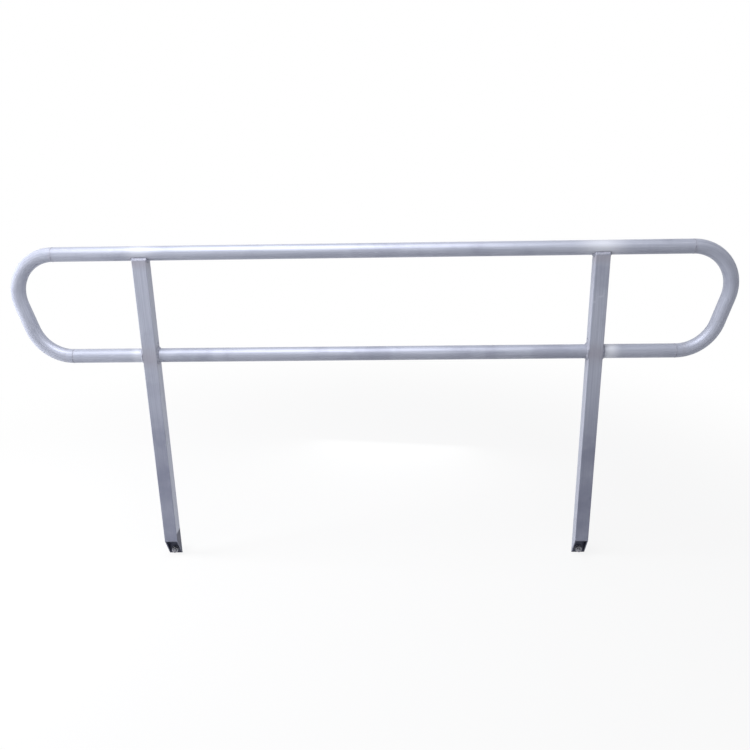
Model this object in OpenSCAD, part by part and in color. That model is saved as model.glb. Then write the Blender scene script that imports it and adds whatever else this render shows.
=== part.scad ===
// Ramp handrail: two square posts carry a closed loop of round tube.
// The loop is a top rail, a lower rail and a bent return at each end.
// X runs along the handrail, +Y points to the ramp and Z is up.
// The origin is on the left post's ramp-side face, at the axis of its stud.

/* [Tube] */
// Outside diameter of the rail tube
tube_d = 38.1; // [25:0.1:50]
// Wall of the rail tube
tube_wall = 3.2; // [1.5:0.1:5]

/* [Rails] */
// Height of the top rail's axis above the tips of the posts
top_height = 907; // [800:1:1200]
// Height of the lower rail's axis above the tips of the posts
lower_height = 627; // [400:1:650]

/* [Returns] */
// Distance past each post at which the return's straight would cross the top rail's axis
return_reach = 376; // [310:1:700]
// Lean of each return's straight, which brings its lower end closer to the post, in degrees
return_lean = 16; // [5:0.5:20]
// Centreline radius of the bends
bend_radius = 107; // [60:1:115]

/* [Posts] */
// Distance between the axes of the two posts
post_spacing = 1200; // [800:1:2400]
// Width and depth of the square post tube
post_width = 38.1; // [34:0.1:60]
// Wall of the post tube
post_wall = 3.2; // [2.5:0.1:5]
// Outer corner radius of the post tube
post_corner = 2; // [0.5:0.1:2.4]
// Drop from the top rail's axis to the cut end of each post
post_top_drop = 16; // [12:0.5:17]
// Height on the outer face of the slanting cut at each foot
foot_cut_height = 60; // [40:1:90]
// Diameter of the vent hole in each post's inner side
vent_d = 6; // [3:0.5:8]
// Height of the vent hole's axis above the top of the lower rail
vent_rise = 15; // [12:0.5:25]
// Distance of the vent hole's axis from the post's axis, towards the ramp
vent_offset = 7; // [0:0.5:8]

/* [Fixings] */
// Height of the stud's axis above the tip of the post
stud_height = 14; // [12:0.5:20]
// Thread diameter of the stud
stud_d = 10; // [6:0.5:12]
// Length of stud that stands out on the ramp side
stud_free = 30; // [15:1:60]
// Diameter of the stud's plain waist, where it passes through the post
waist_d = 9; // [5:0.5:11]
// Length of stud past the nut
stud_tail = 8; // [3:0.5:9]
// Clearance of the stud's thread in its hole, on the diameter
stud_clearance = 1; // [0.5:0.1:2]
// Width of the nut across its flats
nut_flats = 17; // [10:0.5:19]
// Thickness of the nut
nut_thick = 8; // [5:0.5:10]
// Outside diameter of the washer
washer_d = 20; // [12:0.5:23]
// Thickness of the washer
washer_thick = 2; // [1:0.1:3]

/* [Welds] */
// Width of the butt weld between a rail and a return
seam_width = 2; // [1:0.1:4]
// Height of the butt weld above the tube
seam_proud = 0.4; // [0.1:0.1:1]
// Leg of the fillet weld round the tube on the side of a post
fillet_leg = 6; // [3:0.5:8]
// Angle round the top rail, from its underside, that the weld climbs to
weld_climb = 64; // [60:1:75]
// Height of the crown of the welds on the ramp-side face
weld_crown = 1.6; // [0.5:0.1:2.5]
// Gap between the cut edge of a post and the tube welded into it
fit_up = 0.2; // [0.1:0.1:0.5]

/* [Hidden] */
SIDES = ["left", "right"];
$fn = 96;
past = 5; // how far a cutting solid runs past what it cuts
tube_r = tube_d / 2;
post_half = post_width / 2;
// heights are measured from the stud's axis
tip_z = -stud_height;
top_z = tip_z + top_height;
lower_z = tip_z + lower_height;
post_top_z = top_z - post_top_drop;
// the post's outer wall stays whole, so the loop lies just inside it
outer_y = -post_width;
loop_y = outer_y + post_wall + 2 * fit_up + tube_r;
seat_r = tube_r + fit_up;
// angles that a return's two bends turn through
upper_turn = 90 + return_lean;
lower_turn = 90 - return_lean;
// distances from the post's axis to the centres of the two bends
upper_bend = return_reach - bend_radius * tan(upper_turn / 2);
lower_bend = return_reach - (top_z - lower_z) * tan(return_lean) - bend_radius * tan(lower_turn / 2);
return_straight = (top_z - lower_z) / cos(return_lean)
                  - bend_radius * (tan(upper_turn / 2) + tan(lower_turn / 2));
vent_z = lower_z + tube_r + vent_rise;
// positions along Y of the fixings, from the ramp-side wall outwards
washer_y = -post_wall - washer_thick;
nut_y = washer_y - nut_thick;

// Draws a right-hand piece where it is, or turned over for the left-hand end.
module on_side(side) {
    if (side == "right") {
        translate([post_spacing, 0, 0]) children();
    } else {
        mirror([1, 0, 0]) children();
    }
}

// A solid rod along +X from the origin.
module rod_x(r, length) {
    rotate([0, 90, 0]) cylinder(r = r, h = length);
}

// A solid rod along +Y from the origin.
module rod_y(r, length) {
    rotate([-90, 0, 0]) cylinder(r = r, h = length);
}

module tube_section() {
    difference() {
        circle(r = tube_r);
        circle(r = tube_r - tube_wall);
    }
}

// A straight tube along +X from the origin.
module tube_x(length) {
    rotate([0, 90, 0]) linear_extrude(height = length) tube_section();
}

// A bend in the XZ plane round the origin, from one angle through a turn.
module bend(start, turn) {
    rotate([90, 0, 0]) rotate([0, 0, start])
        rotate_extrude(angle = turn) translate([bend_radius, 0]) tube_section();
}

module top_rail() {
    length = post_spacing + 2 * (upper_bend - seam_width);
    color([0.76, 0.78, 0.83])
        translate([seam_width - upper_bend, loop_y, top_z]) tube_x(length);
}

module lower_rail() {
    length = post_spacing + 2 * (lower_bend - seam_width);
    color([0.76, 0.78, 0.83])
        translate([seam_width - lower_bend, loop_y, lower_z]) tube_x(length);
}

// A return is one bent tube, drawn as its upper bend, its straight and its lower bend.
module bend_upper(side) {
    color([0.74, 0.76, 0.81])
        on_side(side) translate([upper_bend, loop_y, top_z - bend_radius])
            bend(-return_lean, upper_turn);
}

module bend_lower(side) {
    color([0.74, 0.76, 0.81])
        on_side(side) translate([lower_bend, loop_y, lower_z + bend_radius])
            bend(-90, lower_turn);
}

module return_middle(side) {
    end_x = lower_bend + bend_radius * cos(return_lean);
    end_z = lower_z + bend_radius * (1 - sin(return_lean));
    color([0.74, 0.76, 0.81])
        on_side(side) translate([end_x, loop_y, end_z]) rotate([0, return_lean, 0])
            linear_extrude(height = return_straight) tube_section();
}

// A butt weld whose far end is at x, which closes the gap to a return.
module seam(side, x, z) {
    color([0.70, 0.71, 0.75])
        on_side(side) translate([x - seam_width, loop_y, z]) difference() {
            rod_x(tube_r + seam_proud, seam_width);
            translate([-past, 0, 0]) rod_x(tube_r - tube_wall, seam_width + 2 * past);
        }
}

module rounded_square(width, corner) {
    square([width - 2 * corner, width], center = true);
    square([width, width - 2 * corner], center = true);
    for (x = [-1, 1], y = [-1, 1]) {
        translate([x, y] * (width / 2 - corner)) circle(r = corner, $fn = 48);
    }
}

module post_section() {
    difference() {
        rounded_square(post_width, post_corner);
        square(post_width - 2 * post_wall, center = true);
    }
}

// The slanting cut that opens the foot's outer face and ends at its ramp-side wall.
module foot_cut() {
    slope = foot_cut_height / (post_width - post_wall);
    rise = slope * past;
    translate([-post_half - past, 0, tip_z]) rotate([90, 0, 90])
        linear_extrude(height = post_width + 2 * past)
            polygon([[-post_wall, 0], [-post_wall, -past], [outer_y - past, -past],
                     [outer_y - past, foot_cut_height + rise]]);
}

// The seat for the lower rail: round at its bottom and open to the ramp side.
module rail_seat() {
    translate([-post_half - past, loop_y, lower_z]) {
        rod_x(seat_r, post_width + 2 * past);
        translate([0, 0, -seat_r]) cube([post_width + 2 * past, past - loop_y, 2 * seat_r]);
    }
}

module post(side) {
    color([0.66, 0.67, 0.72])
        on_side(side) difference() {
            translate([0, -post_half, tip_z])
                linear_extrude(height = post_top_z - tip_z) post_section();
            translate([-post_half - past, loop_y, top_z]) rod_x(seat_r, post_width + 2 * past);
            rail_seat();
            foot_cut();
            translate([0, -post_wall - past, 0])
                rod_y((stud_d + stud_clearance) / 2, post_wall + 2 * past);
            translate([-post_half - past, vent_offset - post_half, vent_z])
                rod_x(vent_d / 2, post_wall + 2 * past);
        }
}

// A fillet round the tube, on the side face of a post, that thins out along +X.
module fillet_ring() {
    rotate([0, 90, 0]) rotate_extrude()
        polygon([[tube_r, 0], [tube_r + fillet_leg, 0], [tube_r, fillet_leg]]);
}

// The weld that closes the post's cut end onto the top rail, with a fillet at each side.
module top_weld(side) {
    climb_y = tube_r * sin(weld_climb);
    climb_z = top_z - tube_r * cos(weld_climb);
    color([0.70, 0.71, 0.75])
        on_side(side) difference() {
            union() {
                intersection() {
                    translate([-post_half, 0, 0]) rotate([90, 0, 90])
                        linear_extrude(height = post_width)
                            polygon([[outer_y, post_top_z], [loop_y - climb_y, climb_z],
                                     [loop_y + climb_y, climb_z], [0, post_top_z]]);
                    translate([0, -post_half, post_top_z]) linear_extrude(height = tube_d)
                        post_section();
                }
                for (x = [0, 1]) {
                    mirror([x, 0, 0]) intersection() {
                        translate([post_half, loop_y, top_z]) fillet_ring();
                        translate([post_half, outer_y, post_top_z - tube_d])
                            cube([fillet_leg, post_width, tube_d + fillet_leg / 2]);
                    }
                }
            }
            translate([-post_width, loop_y, top_z]) rod_x(tube_r, 2 * post_width);
        }
}

// The fillet round the lower rail on one side face of a post; dir is 1 towards the handrail's end.
module side_weld(side, dir) {
    color([0.70, 0.71, 0.75])
        on_side(side) mirror([dir < 0 ? 1 : 0, 0, 0]) intersection() {
            translate([post_half, loop_y, lower_z]) fillet_ring();
            translate([post_half, outer_y, lower_z - tube_d]) cube([fillet_leg, post_width, 2 * tube_d]);
        }
}

// The weld between the lower rail and an edge of its seat in the ramp-side wall; dir is 1 above the rail.
module face_weld(side, dir) {
    toe = tube_r * sin(28);
    color([0.70, 0.71, 0.75])
        on_side(side) difference() {
            translate([-post_half, 0, lower_z]) rotate([90, 0, 90])
                linear_extrude(height = post_width)
                    polygon([[-post_wall, dir * seat_r], [0, dir * seat_r],
                             [weld_crown, dir * (seat_r + toe) / 2], [weld_crown, dir * toe],
                             [-post_wall, dir * toe]]);
            translate([-post_width, loop_y, lower_z]) rod_x(tube_r, 2 * post_width);
        }
}

// A stud with a thread at each end and a plain waist where it passes through the washer and the wall.
module stud(side) {
    tail_y = nut_y - stud_tail;
    color([0.62, 0.63, 0.66])
        on_side(side) {
            translate([0, tail_y, 0]) rod_y(stud_d / 2, washer_y - tail_y);
            translate([0, washer_y, 0]) rod_y(waist_d / 2, -washer_y);
            rod_y(stud_d / 2, stud_free);
        }
}

module nut(side) {
    color([0.70, 0.71, 0.74])
        on_side(side) translate([0, nut_y, 0]) difference() {
            rotate([-90, 30, 0]) cylinder(d = nut_flats / cos(30), h = nut_thick, $fn = 6);
            translate([0, -past, 0]) rod_y(stud_d / 2, nut_thick + 2 * past);
        }
}

module washer(side) {
    color([0.70, 0.71, 0.74])
        on_side(side) translate([0, washer_y, 0]) difference() {
            rod_y(washer_d / 2, washer_thick);
            translate([0, -past, 0]) rod_y((stud_d + stud_clearance) / 2, washer_thick + 2 * past);
        }
}

top_rail();
lower_rail();
for (side = SIDES) {
    bend_upper(side);
    return_middle(side);
    bend_lower(side);
    post(side);
    seam(side, upper_bend, top_z);
    seam(side, lower_bend, lower_z);
    top_weld(side);
    side_weld(side, -1);
    side_weld(side, 1);
    face_weld(side, 1);
    face_weld(side, -1);
    stud(side);
    nut(side);
    washer(side);
}
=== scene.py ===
import math

import bmesh
import bpy
import numpy as np
from mathutils import Matrix, Vector


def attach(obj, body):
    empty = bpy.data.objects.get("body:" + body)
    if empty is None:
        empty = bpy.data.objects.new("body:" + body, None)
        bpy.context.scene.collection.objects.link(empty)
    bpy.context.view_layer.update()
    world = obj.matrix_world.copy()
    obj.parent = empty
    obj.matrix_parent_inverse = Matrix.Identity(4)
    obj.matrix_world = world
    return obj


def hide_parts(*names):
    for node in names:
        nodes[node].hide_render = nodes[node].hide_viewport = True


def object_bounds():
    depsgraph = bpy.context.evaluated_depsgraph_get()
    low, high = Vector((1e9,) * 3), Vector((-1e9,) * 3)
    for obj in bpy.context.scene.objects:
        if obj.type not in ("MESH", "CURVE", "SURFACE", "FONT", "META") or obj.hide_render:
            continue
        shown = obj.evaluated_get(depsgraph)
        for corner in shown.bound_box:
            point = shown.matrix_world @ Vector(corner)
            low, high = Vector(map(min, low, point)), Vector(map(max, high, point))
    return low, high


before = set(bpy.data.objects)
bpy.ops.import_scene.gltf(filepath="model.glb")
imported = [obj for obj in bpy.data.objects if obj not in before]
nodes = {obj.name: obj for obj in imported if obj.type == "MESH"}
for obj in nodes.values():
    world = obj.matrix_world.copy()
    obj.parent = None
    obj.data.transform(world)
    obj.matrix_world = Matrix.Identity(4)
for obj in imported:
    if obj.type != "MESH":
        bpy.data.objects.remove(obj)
CAD_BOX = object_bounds()

# Sizes that repeat the CAD model's, in metres.
POSTS = {"left": 0.0, "right": 1.2}
POST_HALF = 0.01905
POST_OUTER_Y = -0.0381
RAIL_Y = -0.01545
TOP_Z = 0.893
LOWER_Z = 0.613
RAIL_R = 0.01905
UPPER_BEND = 0.234006
LOWER_BEND = 0.215081
BEND_R = 0.107
TUBE_BORE_R = 0.01585
LEAN = math.radians(16)
FLOOR_Z = -0.014
STUD_R = 0.005
NUT_FLATS = 0.017


# ---------------------------------------------------------------- node helpers
class Nodes:
    """A short way to write a material's node tree."""

    def __init__(self, name):
        self.material = bpy.data.materials.new(name)
        self.material.use_nodes = True
        self.tree = self.material.node_tree
        self.tree.nodes.clear()
        self.output = self.tree.nodes.new("ShaderNodeOutputMaterial")

    def put(self, socket, value):
        """Links a socket to the input, or sets the input to a constant."""
        if isinstance(value, bpy.types.NodeSocket):
            self.tree.links.new(value, socket)
        else:
            socket.default_value = value

    def coords(self):
        return self.tree.nodes.new("ShaderNodeTexCoord").outputs["Object"]

    def split(self, vector):
        node = self.tree.nodes.new("ShaderNodeSeparateXYZ")
        self.put(node.inputs[0], vector)
        return node.outputs[0], node.outputs[1], node.outputs[2]

    def join(self, x, y, z):
        node = self.tree.nodes.new("ShaderNodeCombineXYZ")
        for socket, value in zip(node.inputs, (x, y, z)):
            self.put(socket, value)
        return node.outputs[0]

    def math(self, operation, a, b=0.0, c=0.0):
        node = self.tree.nodes.new("ShaderNodeMath")
        node.operation = operation
        for socket, value in zip(node.inputs, (a, b, c)):
            self.put(socket, value)
        return node.outputs[0]

    def noise(self, vector, scale, detail=3.0, rough=0.55):
        node = self.tree.nodes.new("ShaderNodeTexNoise")
        self.put(node.inputs["Vector"], vector)
        node.inputs["Scale"].default_value = scale
        node.inputs["Detail"].default_value = detail
        node.inputs["Roughness"].default_value = rough
        return node.outputs["Fac"]

    def span(self, value, low, high, out_low=0.0, out_high=1.0):
        node = self.tree.nodes.new("ShaderNodeMapRange")
        node.interpolation_type = "SMOOTHSTEP"
        for socket, item in zip(node.inputs, (value, low, high, out_low, out_high)):
            self.put(socket, item)
        return node.outputs[0]

    def mix(self, factor, a, b):
        node = self.tree.nodes.new("ShaderNodeMix")
        node.data_type = "RGBA"
        self.put(node.inputs[0], factor)
        self.put(node.inputs[6], a)
        self.put(node.inputs[7], b)
        return node.outputs[2]

    def near(self, x, centre, reach):
        """1 at the centre, falling to 0 at the reach."""
        away = self.math("ABSOLUTE", self.math("SUBTRACT", x, centre))
        return self.span(away, 0.0, reach, 1.0, 0.0)

    def bump(self, height, strength, distance):
        node = self.tree.nodes.new("ShaderNodeBump")
        node.inputs["Strength"].default_value = strength
        node.inputs["Distance"].default_value = distance
        self.put(node.inputs["Height"], height)
        return node.outputs[0]

    def finish(self, colour, rough, normal, metallic=0.40):
        shader = self.tree.nodes.new("ShaderNodeBsdfPrincipled")
        self.put(shader.inputs["Base Color"], colour)
        self.put(shader.inputs["Roughness"], rough)
        shader.inputs["Metallic"].default_value = metallic
        self.put(shader.inputs["Normal"], normal)
        self.tree.links.new(shader.outputs[0], self.output.inputs[0])
        return self.material


ALLOY = (0.32, 0.34, 0.42, 1)
ALLOY_PALE = (0.43, 0.45, 0.53, 1)
# ALLOY_DARK: random darker tone, the darker foot, and painted shade low on the posts.
ALLOY_DARK = (0.17, 0.18, 0.25, 1)
BRUSHED = (0.68, 0.70, 0.76, 1)
# TINT_AND_SHADE: weld heat tint; also painted shadow under the top rail where it meets the posts.
TINT_AND_SHADE = (0.30, 0.28, 0.32, 1)
# HOLLOW: painted shade inside the posts' hollow, and the dark lower band on the left post's inner
# side.
HOLLOW = (0.055, 0.06, 0.095, 1)


def alloy(name, grain, patches):
    """Satin aluminium. grain stretches noise along the piece; patches are (mask, colour, strength)."""
    m = Nodes(name)
    at = m.coords()
    x, y, z = m.split(at)
    lines = m.noise(grain(m, x, y, z), 1.0, 4.0, 0.65)
    cloud = m.noise(at, 9.0, 4.0, 0.6)
    speck = m.noise(at, 900.0, 2.0, 0.5)
    colour = m.mix(m.span(lines, 0.34, 0.68), ALLOY, ALLOY_PALE)
    colour = m.mix(m.span(cloud, 0.48, 0.72, 0.0, 0.34), colour, ALLOY_DARK)
    # Thin bright scratches where a second, finer grain peaks.
    fine = m.noise(m.join(m.math("MULTIPLY", x, 23.0), m.math("MULTIPLY", y, 410.0),
                          m.math("MULTIPLY", z, 31.0)), 1.0, 2.0, 0.5)
    colour = m.mix(m.span(fine, 0.67, 0.74, 0.0, 0.2), colour, BRUSHED)
    for mask, shade, strength in patches(m, x, y, z):
        ragged = m.math("MULTIPLY", mask, m.span(cloud, 0.2, 0.7, 0.55, 1.0))
        amount = m.math("MINIMUM", m.math("MULTIPLY", ragged, strength), 1.0)
        colour = m.mix(amount, colour, shade)
    rough = m.span(lines, 0.25, 0.75, 0.46, 0.58)
    height = m.math("ADD", m.math("MULTIPLY", lines, 0.9), m.math("MULTIPLY", speck, 0.1))
    return m.finish(colour, rough, m.bump(height, 0.10, 0.00004))


GRAIN = 700.0


def grain_along_x(m, x, y, z):
    return m.join(m.math("MULTIPLY", x, 5.0), m.math("MULTIPLY", y, GRAIN),
                  m.math("MULTIPLY", z, GRAIN))


def grain_along_z(m, x, y, z):
    return m.join(m.math("MULTIPLY", x, GRAIN), m.math("MULTIPLY", y, GRAIN),
                  m.math("MULTIPLY", z, 5.0))


def grain_leaning(out):
    """Grain along a return that leans in towards its lower end."""
    lean = LEAN

    def grain(m, x, y, z):
        across = m.math("SUBTRACT", m.math("MULTIPLY", x, math.cos(lean)),
                        m.math("MULTIPLY", z, out * math.sin(lean)))
        return m.join(m.math("MULTIPLY", across, GRAIN), m.math("MULTIPLY", y, GRAIN),
                      m.math("MULTIPLY", z, 5.0))

    return grain


def grain_in_loop(centre):
    """Grain that stays parallel to a bent tube: it varies with the distance from the bend's centre."""

    def grain(m, x, y, z):
        dx = m.math("SUBTRACT", x, centre[0])
        dz = m.math("SUBTRACT", z, centre[1])
        away = m.math("SQRT", m.math("ADD", m.math("MULTIPLY", dx, dx),
                                     m.math("MULTIPLY", dz, dz)))
        return m.join(m.math("MULTIPLY", away, GRAIN), m.math("MULTIPLY", y, GRAIN),
                      m.math("MULTIPLY", m.math("ADD", x, z), 4.0))

    return grain


def top_patches(m, x, y, z):
    """Brushed lengths over each post, heat tint with painted shadow on the rail's underside where it
    meets each post, and tint at the rail's own end seams.
    """
    found = []
    for at, reach, strength in ((POSTS["left"], 0.060, 0.35), (POSTS["right"], 0.085, 0.75)):
        found.append((m.near(x, at, reach), BRUSHED, strength))
    # Painted shadow with heat tint: the rail's underside is darkened next to each post, where shade
    # falls on the joint.
    under = m.span(z, TOP_Z - 0.012, TOP_Z - 0.004, 1.0, 0.0)
    for at in POSTS.values():
        found.append((m.math("MULTIPLY", m.near(x, at, 0.038), under), TINT_AND_SHADE, 0.8))
    for at in (-UPPER_BEND, POSTS["right"] + UPPER_BEND):
        found.append((m.near(x, at, 0.009), TINT_AND_SHADE, 0.2))
    return found


def lower_patches(m, x, y, z):
    """A brushed length outside the right post, and tint round the welds."""
    found = [(m.near(x, POSTS["right"] + 0.040, 0.034), BRUSHED, 0.85),
             (m.near(x, POSTS["left"] - 0.034, 0.026), BRUSHED, 0.35)]
    for at in POSTS.values():
        found.append((m.near(x, at, 0.034), TINT_AND_SHADE, 0.6))
    for at in (-LOWER_BEND, POSTS["right"] + LOWER_BEND):
        found.append((m.near(x, at, 0.009), TINT_AND_SHADE, 0.2))
    return found


def bend_patches(m, x, y, z):
    """Tint next to the seams."""
    found = []
    for at in (-UPPER_BEND, POSTS["right"] + UPPER_BEND):
        found.append((m.near(x, at, 0.009), TINT_AND_SHADE, 0.2))
    return found


def post_patches(m, x, y, z):
    """Tint at the welds with painted shadow under the top rail, painted shade darkening the front and
    back faces towards the bottom, a darker foot, a dark lower band on the left post's inner side, and
    painted shade inside the hollow.
    """
    left = m.math("ABSOLUTE", m.math("SUBTRACT", x, POSTS["left"]))
    right = m.math("ABSOLUTE", m.math("SUBTRACT", x, POSTS["right"]))
    across = m.math("MINIMUM", left, right)
    deep = m.math("ABSOLUTE", m.math("SUBTRACT", y, POST_OUTER_Y / 2))
    from_axis = m.math("MAXIMUM", across, deep)
    # Painted shade: the hollow's inner walls are darkened, where little light reaches inside the post.
    hollow_shade = m.span(from_axis, POST_HALF - 0.0028, POST_HALF - 0.0010, 1.0, 0.0)
    facing = m.span(across, POST_HALF - 0.0012, POST_HALF - 0.0003, 1.0, 0.0)
    # Painted shade: the post's front and back faces darken towards the bottom, as light falls off near
    # the floor.
    painted_low_shade = m.math("MULTIPLY", facing, m.span(z, 0.15, 0.68, 1.0, 0.0))
    # The left post's inner side face is dark below about 70 mm.
    left_side = m.span(x, POSTS["left"] + POST_HALF - 0.001, POSTS["left"] + POST_HALF, 0.0, 1.0)
    beside = m.math("MULTIPLY", left_side, m.math("LESS_THAN", x, POSTS["right"] / 2))
    dark_low_inner_side = m.math("MULTIPLY", beside, m.span(z, 0.066, 0.072, 1.0, 0.0))
    return [(m.near(z, LOWER_Z, 0.048), TINT_AND_SHADE, 0.5),
            # Heat tint at the top weld, with painted shadow on the post's top under the rail.
            (m.near(z, TOP_Z - 0.018, 0.030), TINT_AND_SHADE, 0.6),
            (painted_low_shade, ALLOY_DARK, 0.95),
            # The posts are darker from 20 mm above the origin down to the floor.
            (m.span(z, FLOOR_Z, 0.020, 1.0, 0.0), ALLOY_DARK, 0.8),
            (dark_low_inner_side, HOLLOW, 1.2),
            (hollow_shade, HOLLOW, 1.6)]


def bead_metal(name):
    """Weld metal: brighter on the ripples, darker between them, where shade is painted into the
    creases.
    """
    m = Nodes(name)
    at = m.coords()
    cloud = m.noise(at, 160.0, 4.0, 0.6)
    grit = m.noise(at, 1500.0, 3.0, 0.6)
    point = m.tree.nodes.new("ShaderNodeNewGeometry").outputs["Pointiness"]
    colour = m.mix(m.span(cloud, 0.35, 0.65), (0.22, 0.23, 0.29, 1), (0.38, 0.39, 0.46, 1))
    # Painted shade: concave creases between the ripples, found by pointiness, are darkened.
    colour = m.mix(m.span(point, 0.42, 0.5, 0.6, 0.0), colour, (0.16, 0.16, 0.19, 1))
    return m.finish(colour, m.span(cloud, 0.3, 0.7, 0.48, 0.66), m.bump(grit, 0.2, 0.0001))


def plated_steel(name, base, pale, metallic):
    """Zinc-plated steel with a dull, spangled bloom."""
    m = Nodes(name)
    at = m.coords()
    cloud = m.noise(at, 300.0, 4.0, 0.6)
    stain = m.noise(at, 90.0, 3.0, 0.6)
    colour = m.mix(m.span(cloud, 0.35, 0.65), base, pale)
    colour = m.mix(m.span(stain, 0.55, 0.75, 0.0, 0.25), colour, (0.20, 0.17, 0.15, 1))
    return m.finish(colour, m.span(cloud, 0.3, 0.7, 0.28, 0.48), m.bump(cloud, 0.25, 0.0002),
                    metallic)


def dress(thing, material, smooth=False):
    """Puts one material on a piece."""
    thing.data.materials.clear()
    thing.data.materials.append(material)
    if smooth:
        for face in thing.data.polygons:
            face.use_smooth = True


# ---------------------------------------------------------------- carried CAD nodes
rail_top = alloy("alloy_top_rail", grain_along_x, top_patches)
rail_low = alloy("alloy_lower_rail", grain_along_x, lower_patches)
post_metal = alloy("alloy_post", grain_along_z, post_patches)
zinc = plated_steel("zinc_plate", (0.26, 0.27, 0.30, 1), (0.40, 0.40, 0.44, 1), 0.7)
steel = plated_steel("stud_steel", (0.16, 0.16, 0.19, 1), (0.34, 0.34, 0.37, 1), 0.7)
bead = bead_metal("bead_metal")

loop_metal = {}
dress(nodes["top_rail"], rail_top)
dress(nodes["lower_rail"], rail_low)
for side in POSTS:
    out = -1 if side == "left" else 1
    base_x = POSTS[side]
    dress(nodes["post_" + side], post_metal)
    loop_metal["return_" + side] = alloy("alloy_return_" + side, grain_leaning(out), bend_patches)
    for level, reach, height in (("upper", UPPER_BEND, TOP_Z - BEND_R),
                                 ("lower", LOWER_BEND, LOWER_Z + BEND_R)):
        metal = alloy(f"alloy_bend_{level}_{side}",
                      grain_in_loop((base_x + out * reach, height)), bend_patches)
        loop_metal[f"bend_{level}_{side}"] = metal
    dress(nodes["washer_" + side], zinc)


# ---------------------------------------------------------------- welds
def place(name, verts, faces, material, replaced):
    """A new mesh piece that stands for a CAD node."""
    mesh = bpy.data.meshes.new(name)
    mesh.from_pydata([tuple(v) for v in verts], [], faces)
    mesh.update()
    thing = bpy.data.objects.new(name, mesh)
    bpy.context.scene.collection.objects.link(thing)
    settle(thing, material, replaced)
    return thing


def settle(thing, material, replaced):
    dress(thing, material, True)
    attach(thing, "root")
    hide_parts(replaced)


def rippled(node, phase_of, height, voxel=0.0007):
    """A weld bead made from its CAD node: remeshed finely, then raised in overlapping ripples."""
    source = nodes[node]
    mesh = source.data.copy()
    mesh.name = node + "_bead"
    thing = bpy.data.objects.new(node + "_bead", mesh)
    bpy.context.scene.collection.objects.link(thing)
    remesh = thing.modifiers.new("voxels", "REMESH")
    remesh.mode = "VOXEL"
    remesh.voxel_size = voxel
    graph = bpy.context.evaluated_depsgraph_get()
    fine = bpy.data.meshes.new_from_object(thing.evaluated_get(graph))
    thing.modifiers.clear()
    thing.data = fine
    count = len(fine.vertices)
    co = np.zeros(count * 3)
    normal = np.zeros(count * 3)
    fine.vertices.foreach_get("co", co)
    fine.vertices.foreach_get("normal", normal)
    co = co.reshape(-1, 3)
    normal = normal.reshape(-1, 3)
    along = phase_of(co)
    wave = along / RIPPLE_PITCH
    rise = 1.0 - np.abs(2.0 * (wave - np.floor(wave)) - 1.0) ** 1.6
    wander = 0.35 * np.sin(along * 310.0) + 0.25 * np.sin(along * 127.0 + 1.3)
    lift = height * (rise - 0.35 + 0.6 * wander)
    co = np.clip(co + normal * lift[:, None], CAD_BOX[0], CAD_BOX[1])
    fine.vertices.foreach_set("co", co.reshape(-1))
    fine.update()
    settle(thing, bead, node)
    return thing


RIPPLE_PITCH = 0.0021
RIPPLE_BOW = 0.35


def round_rail(height):
    """Distance round a bead that circles a rail, bowed across the bead as a weld pool leaves it."""

    def phase(co):
        dy = co[:, 1] - RAIL_Y
        dz = co[:, 2] - height
        radius = np.hypot(dy, dz)
        return np.arctan2(dz, dy) * 0.022 + RIPPLE_BOW * (radius - 0.021)

    return phase


def round_post(base_x):
    """Distance round the post's top."""

    def phase(co):
        dx = co[:, 0] - base_x
        dy = co[:, 1] - POST_OUTER_Y / 2
        return np.arctan2(dy, dx) * 0.024 + RIPPLE_BOW * (co[:, 2] - TOP_Z)

    return phase


def along_face(co):
    """Distance along a straight bead on the post's ramp-side face."""
    return co[:, 0] + RIPPLE_BOW * np.abs(co[:, 2] - LOWER_Z)


for side, base_x in POSTS.items():
    rippled("top_weld_" + side, round_post(base_x), 0.00030)
    for weld in ("inner_weld_", "outer_weld_"):
        rippled(weld + side, round_rail(LOWER_Z), 0.00032)
    for weld in ("upper_weld_", "under_weld_"):
        rippled(weld + side, along_face, 0.00026)
    rippled("seam_top_" + side, round_rail(TOP_Z), 0.00014, 0.0005)
    rippled("seam_lower_" + side, round_rail(LOWER_Z), 0.00014, 0.0005)


BEAD_START = (-0.03805, 0.8762)
BEAD_CONTROL = (-0.0368, 0.8826)
BEAD_END = (-0.0321, 0.8840)
BEAD_BACK = ((-0.0290, 0.8800), (-0.0300, 0.8740), (-0.0360, 0.8740))


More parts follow.
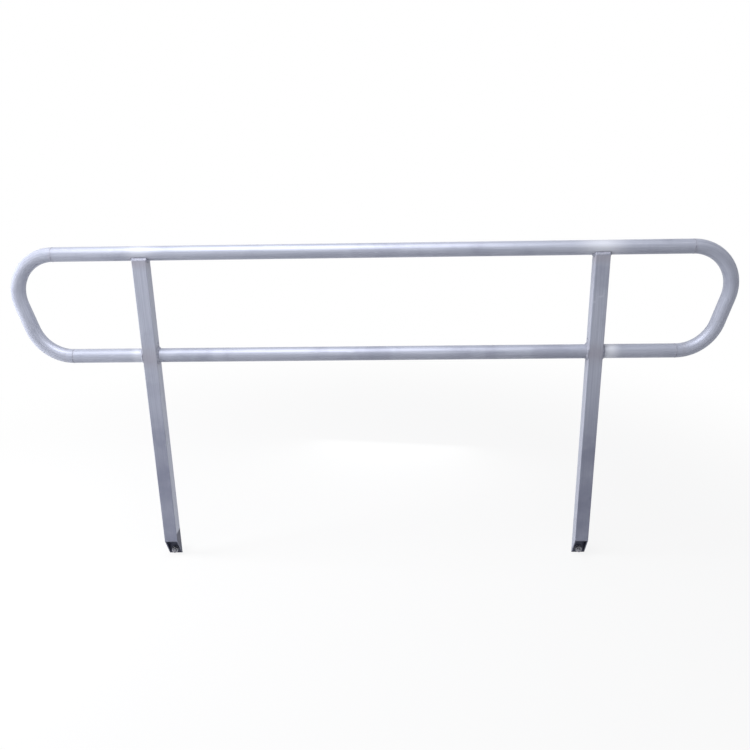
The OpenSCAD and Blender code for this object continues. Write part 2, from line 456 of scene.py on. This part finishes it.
def outer_bead(side, base_x):
    """The bead along the post's outer top edge, from the wall up to the rail's flank."""
    profile = []
    for i in range(9):
        t = i / 8
        profile.append([(1 - t) ** 2 * a + 2 * t * (1 - t) * b + t * t * c
                        for a, b, c in zip(BEAD_START, BEAD_CONTROL, BEAD_END)])
    steps, size = 140, 9 + len(BEAD_BACK)
    verts, faces = [], []
    for step in range(steps + 1):
        x = (2 * step / steps - 1) * (POST_HALF - 0.0019)
        for i, (y, z) in enumerate(profile + list(BEAD_BACK)):
            lift = 0.0
            if 0 < i < 8:
                wave = (x + RIPPLE_BOW * 0.004 * math.sin(math.pi * i / 8)) / RIPPLE_PITCH
                lift = 0.0003 * (0.65 - abs(2 * (wave - math.floor(wave)) - 1) ** 1.6)
            y = max(y - 0.7 * lift, POST_OUTER_Y)
            verts.append((base_x + x, y, z + 0.7 * lift))
    for step in range(steps):
        for i in range(size):
            a, b = step * size + i, step * size + (i + 1) % size
            faces.append((a, b, b + size, a + size))
    faces.append(tuple(reversed(range(size))))
    faces.append(tuple(range(steps * size, steps * size + size)))
    mesh = bpy.data.meshes.new("outer_top_bead_" + side)
    mesh.from_pydata(verts, [], faces)
    mesh.update()
    thing = bpy.data.objects.new("outer_top_bead_" + side, mesh)
    bpy.context.scene.collection.objects.link(thing)
    outward(mesh)
    dress(thing, bead, True)
    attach(thing, "root")


def outward(mesh):
    """Turns every face of a closed mesh to the outside."""
    bm = bmesh.new()
    bm.from_mesh(mesh)
    bmesh.ops.recalc_face_normals(bm, faces=bm.faces)
    bm.to_mesh(mesh)
    bm.free()


for side, base_x in POSTS.items():
    outer_bead(side, base_x)


# ---------------------------------------------------------------- end loops
def tube_along(name, path, material):
    """A clean tube, outer skin and bore, swept along (point, direction) pairs in the loop's plane."""
    segments = 72
    verts, faces = [], []
    for radius in (RAIL_R, TUBE_BORE_R):
        for (px, pz), (dx, dz) in path:
            for step in range(segments):
                angle = 2 * math.pi * step / segments
                side_out = radius * math.cos(angle)
                verts.append((px - dz * side_out, RAIL_Y + radius * math.sin(angle),
                              pz + dx * side_out))
    rings = len(path)
    for skin in range(2):
        for ring in range(rings - 1):
            for step in range(segments):
                start = (skin * rings + ring) * segments
                a, b = start + step, start + (step + 1) % segments
                faces.append((a, b, b + segments, a + segments))
    for ring in (0, rings - 1):
        for step in range(segments):
            a, b = ring * segments + step, ring * segments + (step + 1) % segments
            faces.append((a, b, b + rings * segments, a + rings * segments))
    verts = np.clip(verts, CAD_BOX[0], CAD_BOX[1])
    thing = place(name + "_tube", verts, faces, material, name)
    outward(thing.data)
    thing.data.set_sharp_from_angle(angle=math.radians(40))


def arc(centre, first, last, out, steps=48):
    """(point, direction) pairs round a bend; angles run from the top, outwards and down."""
    path = []
    for i in range(steps + 1):
        angle = first + (last - first) * i / steps
        point = (centre[0] + out * BEND_R * math.sin(angle), centre[1] + BEND_R * math.cos(angle))
        path.append((point, (out * math.cos(angle), -math.sin(angle))))
    return path


for side, base_x in POSTS.items():
    out = -1 if side == "left" else 1
    turn_angle = math.pi / 2 + LEAN
    upper = arc((base_x + out * UPPER_BEND, TOP_Z - BEND_R), 0, turn_angle, out)
    lower = arc((base_x + out * LOWER_BEND, LOWER_Z + BEND_R), turn_angle, math.pi, out)
    (x0, z0), heading = upper[-1]
    (x1, z1), _ = lower[0]
    straight = [((x0 + (x1 - x0) * i / 6, z0 + (z1 - z0) * i / 6), heading) for i in range(7)]
    for name, path in (("bend_upper_", upper), ("return_", straight), ("bend_lower_", lower)):
        tube_along(name + side, path, loop_metal[name + side])


# ---------------------------------------------------------------- studs and nuts
def turned(name, rings, radius_at, base_x, material, replaced, segments=48, bore=None):
    """A closed piece turned round the stud's axis: rings are Y values, radius_at(angle, y, index)."""
    verts, faces = [], []
    for index, y in enumerate(rings):
        for step in range(segments):
            angle = 2 * math.pi * step / segments
            r = radius_at(angle, y, index)
            verts.append((base_x + r * math.cos(angle), y, r * math.sin(angle)))
    for ring in range(len(rings) - 1):
        for step in range(segments):
            a = ring * segments + step
            b = ring * segments + (step + 1) % segments
            faces.append((a, b, b + segments, a + segments))
    if bore:
        last = (len(rings) - 1) * segments
        for step in range(segments):
            nxt = (step + 1) % segments
            faces.append((last + step, last + nxt, nxt, step))
    else:
        faces.append(tuple(reversed(range(segments))))
        last = (len(rings) - 1) * segments
        faces.append(tuple(range(last, last + segments)))
    thing = place(name, verts, faces, material, replaced)
    outward(thing.data)


THREAD_PITCH = 0.0015
THREAD_DEPTH = 0.0008
WAIST_R = 0.0045
WAIST = (-0.0052, 0.0)
STUD_TAIL = -0.0212
STUD_END = 0.030
END_CHAMFER = 0.0012


def stud_radius(angle, y, index):
    """A rolled thread with chamfered ends, and a plain waist through the wall."""
    if WAIST[0] < y < WAIST[1]:
        return WAIST_R
    turn = y / THREAD_PITCH - angle / (2 * math.pi)
    tooth = abs(2 * (turn - math.floor(turn)) - 1)
    r = STUD_R - THREAD_DEPTH * min(1.0, max(0.0, tooth * 1.25 - 0.1))
    end = min(y - STUD_TAIL, STUD_END - y)
    return min(r, STUD_R - END_CHAMFER + end)


def nut_profile(angle, y, index):
    """A hexagon whose corners are turned back at both faces; the first and last rings are the bore."""
    if index in (0, len(NUT_RINGS) - 1):
        return STUD_R - 0.0003
    sector = (angle + math.pi / 6) % (math.pi / 3) - math.pi / 6
    flat = NUT_FLATS / 2 / math.cos(sector)
    end = min(y - NUT_RINGS[0], NUT_RINGS[-1] - y)
    return min(flat, NUT_FLATS / 2 * 0.97 + end / math.tan(math.radians(30)))


NUT_Y, NUT_THICK = -0.0132, 0.008
NUT_RINGS = [NUT_Y, NUT_Y] + [NUT_Y + NUT_THICK * i / 20 for i in range(1, 20)] \
    + [NUT_Y + NUT_THICK] * 2
for side, base_x in POSTS.items():
    stud_rings = np.linspace(STUD_TAIL, STUD_END, 276).tolist()
    turned("threaded_stud_" + side, stud_rings, stud_radius, base_x, steel,
           "stud_" + side, 32)
    turned("hex_nut_" + side, NUT_RINGS, nut_profile, base_x, zinc,
           "nut_" + side, 96, bore=True)


# ---------------------------------------------------------------- floor, light, camera
def paper(shader_tree):
    """White for camera, glossy and transmission rays; plain light for the rest."""
    path = shader_tree.nodes.new("ShaderNodeLightPath")
    seen = shader_tree.nodes.new("ShaderNodeMath")
    seen.operation = "MAXIMUM"
    also = shader_tree.nodes.new("ShaderNodeMath")
    also.operation = "MAXIMUM"
    shader_tree.links.new(path.outputs["Is Camera Ray"], seen.inputs[0])
    shader_tree.links.new(path.outputs["Is Glossy Ray"], seen.inputs[1])
    shader_tree.links.new(seen.outputs[0], also.inputs[0])
    shader_tree.links.new(path.outputs["Is Transmission Ray"], also.inputs[1])
    return also.outputs[0]


world = bpy.data.worlds.new("studio")
bpy.context.scene.world = world
world.use_nodes = True
tree = world.node_tree
tree.nodes.clear()
shown = paper(tree)
dim = tree.nodes.new("ShaderNodeBackground")
dim.inputs[0].default_value = (0.80, 0.84, 1.0, 1)
dim.inputs[1].default_value = 0.14
white = tree.nodes.new("ShaderNodeBackground")
white.inputs[0].default_value = (1, 1, 1, 1)
white.inputs[1].default_value = 1.0
blend = tree.nodes.new("ShaderNodeMixShader")
sky = tree.nodes.new("ShaderNodeOutputWorld")
tree.links.new(shown, blend.inputs[0])
tree.links.new(dim.outputs[0], blend.inputs[1])
tree.links.new(white.outputs[0], blend.inputs[2])
tree.links.new(blend.outputs[0], sky.inputs[0])

ground = Nodes("floor_paper")
fibre = ground.noise(ground.coords(), 240.0, 3.0, 0.6)
paint = ground.tree.nodes.new("ShaderNodeBsdfDiffuse")
ground.put(paint.inputs[0], ground.mix(fibre, (0.56, 0.56, 0.57, 1), (0.60, 0.60, 0.61, 1)))
glow = ground.tree.nodes.new("ShaderNodeEmission")
glow.inputs[0].default_value = (1, 1, 1, 1)
glow.inputs[1].default_value = 1.0
over = ground.tree.nodes.new("ShaderNodeMixShader")
seen_floor = paper(ground.tree)
gx, gy, gz = ground.split(ground.coords())
away = ground.math("SQRT", ground.math("ADD", ground.math("MULTIPLY", gx, gx),
                                       ground.math("MULTIPLY", gy, gy)))
ground.put(over.inputs[0], ground.math("MULTIPLY", seen_floor,
                                       ground.span(away, 0.9, 2.2, 0.88, 1.0)))
ground.tree.links.new(paint.outputs[0], over.inputs[1])
ground.tree.links.new(glow.outputs[0], over.inputs[2])
ground.tree.links.new(over.outputs[0], ground.output.inputs[0])

FLOOR_HALF = 30.0
bpy.ops.mesh.primitive_grid_add(x_subdivisions=4, y_subdivisions=4, size=2 * FLOOR_HALF,
                                location=(0.6, 0, FLOOR_Z))
floor = bpy.context.object
floor.name = "studio_floor"
dress(floor, ground.material)


def lamp(name, at, aim, size, power, colour, shiny=False):
    """A soft square light that points at aim; a shiny one also shows as a highlight."""
    data = bpy.data.lights.new(name, "AREA")
    data.size = size
    data.energy = power
    data.color = colour
    thing = bpy.data.objects.new(name, data)
    thing.location = at
    thing.rotation_euler = (Vector(aim) - Vector(at)).to_track_quat("-Z", "Y").to_euler()
    thing.visible_camera = False
    thing.visible_glossy = shiny
    bpy.context.scene.collection.objects.link(thing)


lamp("overhead", (0.10, -0.75, 2.7), (0.5, 0, 0.5), 1.7, 70, (0.99, 0.99, 1.0), True)
lamp("left_side", (-1.6, -0.25, 0.95), (1.0, 0, 0.45), 0.8, 62, (1.0, 1.0, 1.0))
lamp("right_low", (2.9, 0.1, 0.15), (0.0, 0, 0.2), 0.7, 6, (0.95, 0.97, 1.0))
lamp("between", (0.65, 0.80, 0.32), (0.55, 0, 0.30), 0.6, 3, (1.0, 1.0, 1.0))

camera_data = bpy.data.cameras.new("camera")
camera_data.lens = 37.938
camera_data.sensor_width = 36
camera = bpy.data.objects.new("camera", camera_data)
bpy.context.scene.collection.objects.link(camera)
bpy.context.scene.camera = camera
pitch, roll, yaw = math.radians(19.0901), math.radians(1.1012), math.radians(-1.8925)
forward = Vector((math.sin(yaw) * math.cos(pitch), math.cos(yaw) * math.cos(pitch),
                  -math.sin(pitch)))
right = Vector((math.cos(yaw), -math.sin(yaw), 0))
down = forward.cross(right)
right_rolled = math.cos(roll) * right + math.sin(roll) * down
down_rolled = -math.sin(roll) * right + math.cos(roll) * down
turn = Matrix((right_rolled, -down_rolled, -forward)).transposed().to_4x4()
camera.matrix_world = Matrix.Translation((0.67695, -2.06023, 1.25838)) @ turn

bpy.context.scene.view_settings.view_transform = "Standard"
